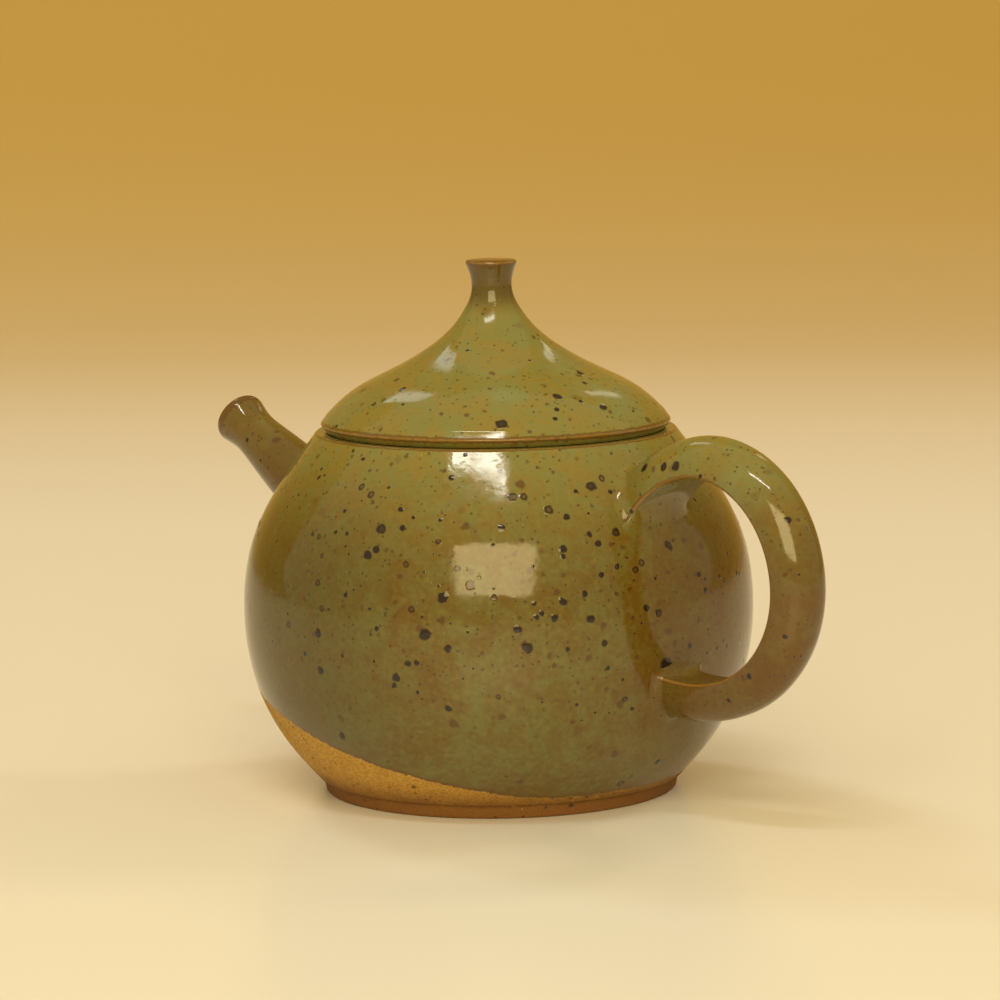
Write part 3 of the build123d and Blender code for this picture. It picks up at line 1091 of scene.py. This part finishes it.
    def spots(self) -> tuple:
        """The pot's larger iron spots: azimuth, height, reach, radius and whether hollow."""
        return (
            (-72, 48, 1.1, 0.2), (-68, 51, 0.6, 0), (-74, 44, 0.9, 0), (-72, 45, 0.85, 0),
            (-55, 38, 1.05, 0), (-59, 32, 1.15, 0), (-54, 30, 0.8, 0), (-39, 33, 0.85, 0),
            (-37, 30, 1.05, 0), (-86, 31, 0.95, 0), (-86, 25, 0.85, 0), (-66, 25, 0.85, 0),
            (-63, 27.4, 0.65, 0), (-61, 27.6, 0.55, 0), (-84, 14, 0.9, 0), (-49, 40, 0.9, 1),
            (-44, 38, 0.8, 1), (-28, 45, 0.8, 0), (-29, 37, 0.9, 0), (-23, 34, 0.85, 0),
            (-24, 38, 0.6, 0), (-14, 47, 0.95, 0.4), (-17, 54, 1.1, 0.2), (-13, 55, 0.8, 1),
            (-8, 54, 1.1, 0.6), (-30, 51, 0.9, 0.7), (-39, 53, 0.9, 0.8), (-36, 53, 0.9, 0.9),
            (0, 44, 1.0, 0.2), (-11, 41, 0.8, 1), (-9, 42, 0.8, 1), (-4, 25.5, 1.5, 0),
            (3, 8, 0.8, 0), (-7, 5, 0.9, 1), (-87, 39, 0.7, 0.9), (-85, 35, 0.7, 1),
            (-62, 36, 0.7, 1), (-64, 43, 0.7, 1), (-52, 42.5, 0.6, 1), (-20, 30, 0.7, 0),
            (-31, 34.5, 0.7, 0), (-35, 34.8, 0.55, 0), (-90, 46, 0.6, 0.9), (-19, 26, 0.55, 0),
            (-78, 53, 0.8, 0.9), (-82, 54, 0.8, 0.8), (-57, 46.5, 0.6, 0.9), (-6, 34, 0.8, 0.3),
            (150, 40, 1.0, 0), (120, 33, 0.9, 0), (95, 44, 1.0, 0.6), (64, 28, 1.0, 0),
            (48, 40, 0.9, 0.8), (-150, 34, 1.0, 0), (-128, 45, 0.9, 0), (170, 25, 0.8, 1),
        )


def bind(piece: bpy.types.Object, body: Body, slot: Slot, *nodes: str) -> None:
    """Attach a piece to the body it rides on and hide the nodes it stands for."""
    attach(piece, body.value)
    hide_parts(*nodes)
    LOG.info("%s: %d faces", piece.name, len(piece.data.polygons))


@dataclass
class Lid:
    """Lid with its hollow underside, locating flange, knob and air hole."""

    shop: Workshop
    side: list = field(default_factory=lambda: [
        (28.08, 62.82), (24.64, 66), (17.37, 70), (10.44, 74), (6.06, 78), (4.32, 80.6)])
    hollow: list = field(default_factory=lambda: [(20.8, 62.4), (14.5, 67.4), (8, 71), (0, 72.6)])
    base: float = 60.12
    base_radius: float = 28.2
    ridge: float = 61.35
    ridge_radius: float = 29.05

    def build(self) -> None:
        """Make the three pieces and bind them to the lid."""
        side = smooth_line(self.side, 0.45)
        hollow = smooth_line(self.hollow, 1.0)
        lip = smooth_line(
            [(self.ridge_radius - 0.10, self.ridge + 0.24), (self.ridge_radius - 0.53, 62.19), self.side[0]], 0.2
        )[:-1]
        dome = Section.of(
            (hollow[::-1], 1.0),
            (straight(self.hollow[0], (self.hollow[0][0], self.base), 5)[1:], 1.0),
            (straight((self.hollow[0][0], self.base), (self.base_radius, self.base), 12), 1.0),
            (straight((self.base_radius, self.base), (self.ridge_radius - 0.08, self.ridge - 0.22), 7), 0.0),
            (rounded((self.ridge_radius - 0.22, self.ridge), 0.22, -60, 45, 6), 0.0),
            (lip, 0.0),
            (side, 0.0),
            (straight(tuple(side[-1]), (0, 80.6), 5)[1:], 1.0),
            (np.array([[0, 80.6]]), 1.0),
        ).worn((self.ridge_radius - 0.05, self.ridge, 0.80))
        piece = self.shop.turn("lid_dome_skin", dome, self.shop.glaze)
        self.shop.drill(piece, [(Vector((-14, 0, 70)), Vector((0, 0, 1)))], 1.0, 14)
        spots = (
            (-41, 27.1, 1.1, 0.15), (-17, 22.6, 0.95, 0), (11, 17.3, 0.8, 0), (0, 25.5, 0.9, 0),
            (-89, 20.9, 0.8, 0), (-20, 25.2, 0.6, 0), (-22, 26.6, 0.5, 0), (-96, 24.6, 0.6, 0.8),
            (4, 20.0, 0.6, 0), (-8, 24.0, 0.5, 0), (140, 24.5, 0.9, 0), (80, 21, 0.8, 0.5),
            (200, 23, 0.8, 0),
        )
        self.shop.speckle(piece, SpotList(spots, Throw.DOWN), 0.55, 21, 0.6)
        bind(piece, Body.LID, Slot.GLAZE, "lid_dome")

        low, top, width = 52.8, 60.1, 2.8
        flange = Section.of(
            (straight((23.54, top), (23.2, low + 0.8), 8), 0.0),
            (rounded((22.4, low + 0.8), 0.8, 0, -90, 6), 0.0),
            (rounded((23.1 - width + 0.8, low + 0.8), 0.8, -90, -180, 6), 0.0),
            (straight((23.1 - width, low + 1.2), (23.54 - width, top), 8), 0.0),
            (straight((23.54 - width, top), (23.54, top), 5), 0.0),
            (np.array([[23.54, top]]), 0.0),
        )
        skirt = self.shop.turn("lid_skirt", flange, self.shop.glaze)
        bind(skirt, Body.LID, Slot.GLAZE, "lid_flange")

        neck = smooth_line([side[-2], side[-1], (3.35, 84), (4.3, 87.6)], 0.3)
        neck = neck[neck[:, 1] > 80.6]
        crown = smooth_line([(3.8, 88.08), (2.6, 88.2), (1.2, 88.27), (0.0, 88.3)], 0.3)
        knob = Section.of(
            (np.array([[0, 80.6]]), 0.0),
            (straight((0, 80.6), tuple(side[-1]), 5)[1:], 0.0),
            (side[-1:], 0.0),
            (neck[:-1], 0.0),
            (rounded((3.85, 87.62), 0.45, -5, 85, 7), 0.0),
            (crown[1:], 0.0),
        ).worn((4.3, 87.8, 0.7), (1.5, 88.3, 3.2))
        handle = self.shop.turn("lid_knob_skin", knob, self.shop.glaze)
        bind(handle, Body.LID, Slot.GLAZE, "lid_knob")


def swept(rows: list[Points], closed: bool) -> tuple[Points, list[tuple[int, ...]]]:
    """Skin over rings of points.

    Args:
        rows: Rings with the same number of points each.
        closed: Whether the last ring joins the first one.

    Returns:
        The points and the faces.
    """
    count, points = len(rows[0]), np.vstack(rows)
    faces = []
    for ring in range(len(rows) if closed else len(rows) - 1):
        base, after = ring * count, (ring + 1) % len(rows) * count
        for side in range(count):
            other = (side + 1) % count
            faces.append((base + side, base + other, after + other, after + side))
    return points, faces


def capped(points: Points, faces: list[tuple[int, ...]], count: int, inset: Points) -> Points:
    """Close both ends of a skin with fans to two middle points.

    Args:
        points: The skin's points.
        faces: Its faces, which the fans are added to.
        count: Points per ring.
        inset: The two middle points.

    Returns:
        All the points.
    """
    first, last = len(points), len(points) + 1
    base = len(points) - count
    for side in range(count):
        other = (side + 1) % count
        faces.append((other, side, first))
        faces.append((base + side, base + other, last))
    return np.vstack([points, inset])


def to_mesh(name: str, points: Points, faces: list[tuple[int, ...]],
            material: bpy.types.Material) -> bpy.types.Object:
    """Make a smooth, closed object from points in millimetres."""
    mesh = bpy.data.meshes.new(name)
    mesh.from_pydata([tuple(row) for row in points * MM], [], faces)
    mesh.materials.append(material)
    face_outwards(mesh)
    mesh.shade_smooth()
    return new_object(name, mesh)


def ease_into(line: Points, outward: Points, pot: PotBody, radius: float, steps: int = 12) -> Points:
    """Bend the end of a lengthwise line into a fillet that lands on the pot.

    Args:
        line: Points from the open towards the pot; the last ones lie inside its wall.
        outward: Direction away from the piece's middle, one row per point.
        pot: The pot that the line lands on.
        radius: Radius of the fillet.
        steps: Points in the fillet.

    Returns:
        The line with its end replaced, ending just under the pot's skin.
    """
    away = pot.away(line)
    first = int(np.argmax(away < radius)) if (away < radius).any() else len(line) - 1
    tail = slice(max(first - 1, 0), None)
    order = np.argsort(away[tail])
    depth = away[tail][order]
    turn = np.linspace(0, math.pi / 2, steps)
    wanted = radius * (1 - np.sin(turn))
    wanted[-1] = -0.12
    place = np.column_stack([np.interp(wanted, depth, line[tail][order][:, k]) for k in range(3)])
    push = np.column_stack([np.interp(wanted, depth, outward[tail][order][:, k]) for k in range(3)])
    normal = pot.normal(place)
    push = push - np.einsum("ij,ij->i", push, normal)[:, None] * normal
    push /= np.linalg.norm(push, axis=1, keepdims=True) + 1e-9
    share = radius - np.sqrt(np.maximum(radius**2 - (radius - np.maximum(wanted, 0)) ** 2, 0))
    place = place + push * share[:, None]
    off = pot.away(place) - wanted
    place -= normal * off[:, None]
    return np.vstack([line[:first], place])


def even(line: Points, count: int) -> Points:
    """The same line with a given number of evenly spaced points."""
    step = np.concatenate([[0], np.cumsum(np.linalg.norm(np.diff(line, axis=0), axis=1))])
    at = np.linspace(0, step[-1], count)
    return np.column_stack([np.interp(at, step, line[:, k]) for k in range(line.shape[1])])


@dataclass
class Handle:
    """Pulled strap handle: flat inside, domed outside, its roots smeared onto the wall."""

    shop: Workshop
    pot: PotBody
    inside: list = field(default_factory=lambda: [
        (33.6, 42.8), (39.9, 51.7), (49.9, 56.2), (59.6, 53.2), (65.8, 44.6), (66.2, 36.2),
        (60.1, 27.0), (50.0, 23.3), (37.6, 24.3)])
    sizes: list = field(default_factory=lambda: [
        (13.4, 9.6), (12.4, 7.6), (11.2, 6.4), (10.5, 6.2), (10.2, 6.05), (10, 5.8), (9.9, 5.7),
        (9.7, 5.8), (9.4, 6.1), (9.1, 6.8), (9.1, 7.6)])
    domed: int = 28
    flat: int = 15
    corner: float = 0.3

    def section(self, width: float, thick: float) -> tuple[Points, Points, Points]:
        """One D-shaped section.

        Args:
            width: Its width across the strap.
            thick: Its thickness.

        Returns:
            Points as (sideways, outward), how much each lies on the flat side, and its worn edges.
        """
        half, soft = width / 2, self.corner
        turn = np.radians(np.concatenate([[0, 1.5, 4], np.linspace(8, 172, self.domed - 6), [176, 178.5, 180]]))
        dome = np.column_stack([half * np.cos(turn), soft + (thick - soft) * np.sin(turn) ** 0.94])
        back = np.concatenate([[-1, -0.985, -0.95], np.linspace(-0.88, 0.88, self.flat - 6), [0.95, 0.985, 1]])
        sag = 0.28 * (1 - back**2)
        flat = np.column_stack([(half - soft) * back, 0.02 + sag])
        points = np.vstack([dome, flat])
        inner = np.concatenate([np.zeros(self.domed), 1 - np.abs(back) ** 3])
        edge = np.zeros(len(points))
        edge[[0, self.domed - 1, self.domed, -1]] = 1.0
        edge[[1, self.domed - 2, self.domed + 1, -2]] = 0.3
        return points, inner, edge

    def build(self) -> None:
        """Make the handle and bind it to the pot."""
        line = smooth_line(self.inside, 0.7)
        tangent = np.gradient(line, axis=0)
        tangent /= np.linalg.norm(tangent, axis=1, keepdims=True)
        share = np.linspace(0, 1, len(line))
        table = np.array(self.sizes)
        stations = np.linspace(0, 1, len(table))
        width, thick = (np.interp(share, stations, table[:, k]) for k in range(2))
        rings, hearts = [], []
        for at in range(len(line)):
            points, inner, edge = self.section(width[at], thick[at])
            out = np.array([-tangent[at, 1], tangent[at, 0]])
            base = line[at]
            ring = np.column_stack([base[0] + out[0] * points[:, 1], points[:, 0], base[1] + out[1] * points[:, 1]])
            rings.append(ring)
            hearts.append([base[0] + out[0] * thick[at] * 0.42, 0, base[1] + out[1] * thick[at] * 0.42])
        rings, hearts = np.array(rings), np.array(hearts)
        count, middle = rings.shape[1], len(line) // 2
        lanes = []
        for lane in range(count):
            run = rings[:, lane]
            outward = run - hearts
            outward /= np.linalg.norm(outward, axis=1, keepdims=True)
            upper = 1.9 + 3.2 * inner[lane] ** 0.7
            lower = 1.5 + 1.0 * inner[lane]
            head = ease_into(run[middle::-1], outward[middle::-1], self.pot, upper)
            foot = ease_into(run[middle:], outward[middle:], self.pot, lower)
            half = len(line) // 2 + 6
            lanes.append(np.vstack([self.spread(head, half)[::-1], self.spread(foot, half)[1:]]))
        lanes = np.array(lanes)
        points, faces = swept(list(lanes.transpose(1, 0, 2)), closed=False)
        ends = lanes[:, [0, -1]].mean(axis=0)
        ends -= self.pot.normal(ends) * (self.pot.away(ends) + 1.6)[:, None]
        points = capped(points, faces, count, ends)
        piece = to_mesh("strap_handle", points, faces, self.shop.glaze)
        fade = np.ones(lanes.shape[1])
        fade[:10], fade[-10:] = np.linspace(0, 0.9, 10), np.linspace(0.9, 0, 10)
        wear = np.concatenate([np.outer(fade, edge).ravel(), [0, 0]])
        store(piece.data, "edge", wear)
        piece.data.set_sharp_from_angle(angle=math.radians(60))
        spots = (
            (44.3, 57.6, 0.9, 0), (47.0, 57.9, 0.95, 0), (39.5, 57.0, 1.0, 0), (38, 50, 0.5, 0),
            (68.5, 51, 0.7, 0), (69, 33, 0.5, 0), (62, 26, 0.6, 0), (57, 21.5, 0.5, 0),
        )
        self.shop.speckle(piece, SpotList(spots, Throw.ACROSS), 0.5, 33, 0.5)
        bind(piece, Body.POT, Slot.GLAZE, "handle")

    def spread(self, lane: Points, count: int) -> Points:
        """Respace a lane: the fillet's points stay, the rest is spaced evenly."""
        fillet = 11
        return np.vstack([even(lane[:-fillet], count), lane[-fillet:]])


@dataclass
class Spout:
    """Slim tube spout with a flared root, a rolled lip and an open bore, and its strainer."""

    shop: Workshop
    pot: PotBody
    root: tuple = (-40.9, 0.0, 42.1)
    side: list = field(default_factory=lambda: [
        (11.6, -9.5), (9.8, -6), (7.6, 0), (6.2, 5.5), (5.4, 11.5), (4.85, 17), (4.25, 22), (4.05, 25.2),
        (4.5, 28.4)])
    length: float = 30.6
    bore: float = 2.4
    funnel: float = 12.0
    around: int = 72

    @staticmethod
    def direction() -> Vector:
        """Direction of the spout's axis, outwards."""
        tilt = math.radians(30.5)
        return Vector((-math.cos(tilt), 0.0, math.sin(tilt)))

    def place(self, reach: Points, along: Points, turn: float) -> Points:
        """Points at given distances from the axis and along it, at one angle round it."""
        axis = np.array(self.direction())
        side = np.array([0.0, 1.0, 0.0]) * math.cos(turn) + np.cross(axis, [0, 1.0, 0]) * math.sin(turn)
        return np.array(self.root) + np.outer(along, axis) + np.outer(reach, side)

    def build(self) -> None:
        """Make the spout and the strainer and bind them to the pot."""
        outer = smooth_line(self.side, 0.6)[::-1]
        lip = smooth_line([(4.5, 28.4), (4.62, 29.5), (4.15, 30.35), (3.45, 30.55), (2.7, 30.1), (2.4, 29.2)], 0.22)
        bore = np.vstack([straight((self.bore, 29.0), (self.bore, self.funnel), 12),
                          straight((self.bore, self.funnel), (5.4, 0), 10),
                          straight((5.4, 0), (5.4, -14), 16)])
        rows, depth = [], None
        for step in range(self.around):
            turn = 2 * math.pi * step / self.around
            line = self.place(outer[:, 0], outer[:, 1], turn)
            heart = self.place(np.zeros(len(outer)), outer[:, 1], turn)
            outward = (line - heart) / np.linalg.norm(line - heart, axis=1, keepdims=True)
            down = ease_into(line, outward, self.pot, 1.6)
            down = np.vstack([even(down[:-11], 52), down[-11:]])
            rim = self.place(lip[:, 0], lip[:, 1], turn)
            inner = self.place(bore[:, 0], bore[:, 1], turn)
            away = self.pot.away(inner)
            last = int(np.argmax(away < -0.1))
            blend = (away[last - 1] + 0.1) / (away[last - 1] - away[last])
            end = inner[last - 1] + blend * (inner[last] - inner[last - 1])
            inner = even(np.vstack([inner[:last], end]), 34)
            rows.append(np.vstack([down[::-1], rim[1:-1], inner]))
        lanes = np.array(rows)
        points, faces = swept(list(lanes.transpose(1, 0, 2)), closed=True)
        piece = to_mesh("tube_spout", points, faces, self.shop.brown)
        wear = np.zeros(lanes.shape[1])
        wear[63 : 63 + len(lip)] = 0.5
        store(piece.data, "edge", np.repeat(wear, self.around))
        piece.data.set_sharp_from_angle(angle=math.radians(60))
        self.shop.speckle(piece, SpotList(((172, 50, 0.6, 0), (184, 54, 0.5, 0))), 0.6, 41, 0.5)
        bind(piece, Body.POT, Slot.GLAZE, "spout")
        self.build_strainer()

    def build_strainer(self) -> None:
        """Make the pierced dome behind the spout's hole."""
        axis = self.direction()
        centre = Vector(self.root) - axis * 2.4
        reach = 8.6
        rim = math.radians(76)
        arc = np.linspace(0, rim, 26)
        skin = np.column_stack([reach * np.sin(arc), reach * np.cos(arc)])
        hollow = np.column_stack([(reach - 1.3) * np.sin(arc), (reach - 1.3) * np.cos(arc)])[::-1]
        dome = Section.of((hollow, 1.0), (skin[::-1], 1.0))
        piece = self.shop.turn("strainer", Section(dome.points[::-1], dome.inside, dome.edge), self.shop.glaze)
        spin = Vector((0, 0, 1)).rotation_difference(-axis).to_matrix().to_4x4()
        piece.data.transform(Matrix.Translation(centre * MM) @ spin)
        holes = []
        for number, tilt in ((1, 0), (6, 24), (12, 46)):
            for index in range(number):
                turn, lean = 2 * math.pi * index / number, math.radians(tilt)
                aim = Vector((math.sin(lean) * math.cos(turn), math.sin(lean) * math.sin(turn), math.cos(lean)))
                aim = spin.to_3x3() @ aim
                holes.append((centre + aim * (reach - 0.65), aim))
        self.shop.drill(piece, holes, 0.9, 3.2)
        bind(piece, Body.POT, Slot.GLAZE, "strainer_dome")


# ---------------------------------------------------------------- studio


@dataclass(frozen=True)
class Light:
    """A soft rectangular light, placed by its direction from the pot as the camera sees it.

    Attributes:
        name: Its name.
        aside: Degrees to the right of the camera's own direction.
        up: Degrees above the table.
        size: Angles that it spans, sideways and upwards, in degrees.
        radiance: Its red, green and blue brightness.
        distance: Its distance in metres.
        mirrored: Whether glossy surfaces show it.
    """

    name: str
    aside: float
    up: float
    size: tuple
    radiance: tuple
    distance: float = 1.3
    mirrored: bool = True

    def build(self, camera_azimuth: float) -> None:
        """Add the light to the scene.

        Args:
            camera_azimuth: Direction of the camera from the pot, in degrees.
        """
        lamp = bpy.data.lights.new(self.name, "AREA")
        lamp.shape = "RECTANGLE"
        lamp.size, lamp.size_y = (2 * self.distance * math.tan(math.radians(a) / 2) for a in self.size)
        top = max(self.radiance)
        lamp.color = tuple(part / top for part in self.radiance)
        lamp.energy = top * math.pi * lamp.size * lamp.size_y
        turn, rise = math.radians(camera_azimuth + self.aside), math.radians(self.up)
        away = Vector((math.cos(turn) * math.cos(rise), math.sin(turn) * math.cos(rise), math.sin(rise)))
        light = bpy.data.objects.new(self.name, lamp)
        light.location = Vector((0, 0, 0.045)) + away * self.distance
        light.rotation_euler = away.to_track_quat("Z", "Y").to_euler()
        light.visible_glossy = self.mirrored
        bpy.context.scene.collection.objects.link(light)


@dataclass
class Studio:
    """Camera, table, backdrop and lights."""

    azimuth: float = -43.0
    distance: float = 0.717
    height: float = 0.142
    lens: float = 156.5
    roll: float = 0.9
    lights: tuple = (
        Light("key_window", -18, 65.4, (24, 2.6), (24.0, 23.2, 20.0)),
        Light("front_panel", -2, 28, (34, 31), (6.0, 4.9, 2.5)),
        Light("rear_left", -150, 47, (8, 14), (1.7, 1.9, 1.8)),
        Light("rear_right", 152, 38, (3.5, 12), (1.9, 1.8, 1.4)),
        Light("rear_left_fill", -146, 38, (10, 10), (13.5, 15.0, 14.0), mirrored=False),
        Light("rear_right_fill", 120, 38, (12, 12), (11.0, 9.5, 6.5), mirrored=False),
    )

    def build(self) -> None:
        """Set up the whole studio."""
        scene = bpy.context.scene
        turn = math.radians(self.azimuth)
        spot = Vector((self.distance * math.cos(turn), self.distance * math.sin(turn), self.height))
        aim = IMAGE_RIGHT * 0.0005 + Vector((0, 0, 0.048))
        camera = bpy.data.objects.new("camera", bpy.data.cameras.new("camera"))
        camera.data.lens, camera.data.sensor_width = self.lens, 36.0
        camera.data.clip_start = 0.01
        facing = (aim - spot).to_track_quat("-Z", "Y").to_matrix().to_4x4()
        camera.matrix_world = (
            Matrix.Translation(spot) @ facing @ Matrix.Rotation(-math.radians(self.roll), 4, "Z")
        )
        scene.collection.objects.link(camera)
        scene.camera = camera
        scene.view_settings.view_transform = "Standard"
        self.table()
        for light in self.lights:
            light.build(self.azimuth)
        world = bpy.data.worlds.new("room")
        world.use_nodes = True
        backdrop = world.node_tree.nodes["Background"]
        backdrop.inputs[0].default_value = (1.0, 0.86, 0.49, 1.0)
        backdrop.inputs[1].default_value = 0.58
        scene.world = world

    def table(self) -> None:
        """Pale table that rises into a plain wall far behind the pot."""
        profile = [(3.0, 0.0), (0.0, 0.0), (-0.75, 0.0)]
        profile += [(-0.75 - 0.7 * math.sin(a), 0.7 - 0.7 * math.cos(a)) for a in np.linspace(0.1, math.pi / 2, 16)]
        profile += [(-1.45, 2.5)]
        turn = math.radians(self.azimuth)
        front, side = Vector((math.cos(turn), math.sin(turn), 0)), IMAGE_RIGHT
        corners, faces = [], []
        for index, (reach, rise) in enumerate(profile):
            for across in (-3.0, 3.0):
                corners.append(tuple(front * reach + side * across + Vector((0, 0, rise))))
            if index:
                faces.append((2 * index - 2, 2 * index - 1, 2 * index + 1, 2 * index))
        mesh = bpy.data.meshes.new("table")
        mesh.from_pydata(corners, [], faces)
        mesh.shade_smooth()
        material = bpy.data.materials.new("pale_table")
        material.use_nodes = True
        graph = Graph(material.node_tree)
        shader = material.node_tree.nodes["Principled BSDF"]
        here = graph.add("ShaderNodeTexCoord").outputs["Object"]
        back = graph.vector("DOT_PRODUCT", here, tuple(-front))
        far = graph.ramp(back, 0.22, 1.10)
        colour = graph.blend(far, (0.90, 0.87, 0.86, 1.0), (0.585, 0.375, 0.105, 1.0))
        graph.feed(shader.inputs["Base Color"], colour)
        shader.inputs["Roughness"].default_value = 0.27
        mesh.materials.append(material)
        new_object("table", mesh)


def main() -> None:
    """Build the studio, then each piece in order."""
    logging.basicConfig(level=logging.INFO, format="%(message)s")
    Studio().build()
    shop = Workshop()
    pot = PotBody(shop)
    pot.build()
    Handle(shop, pot).build()
    Spout(shop, pot).build()
    Lid(shop).build()
    shop.tidy_up()


if __name__ == "__main__":
    main()
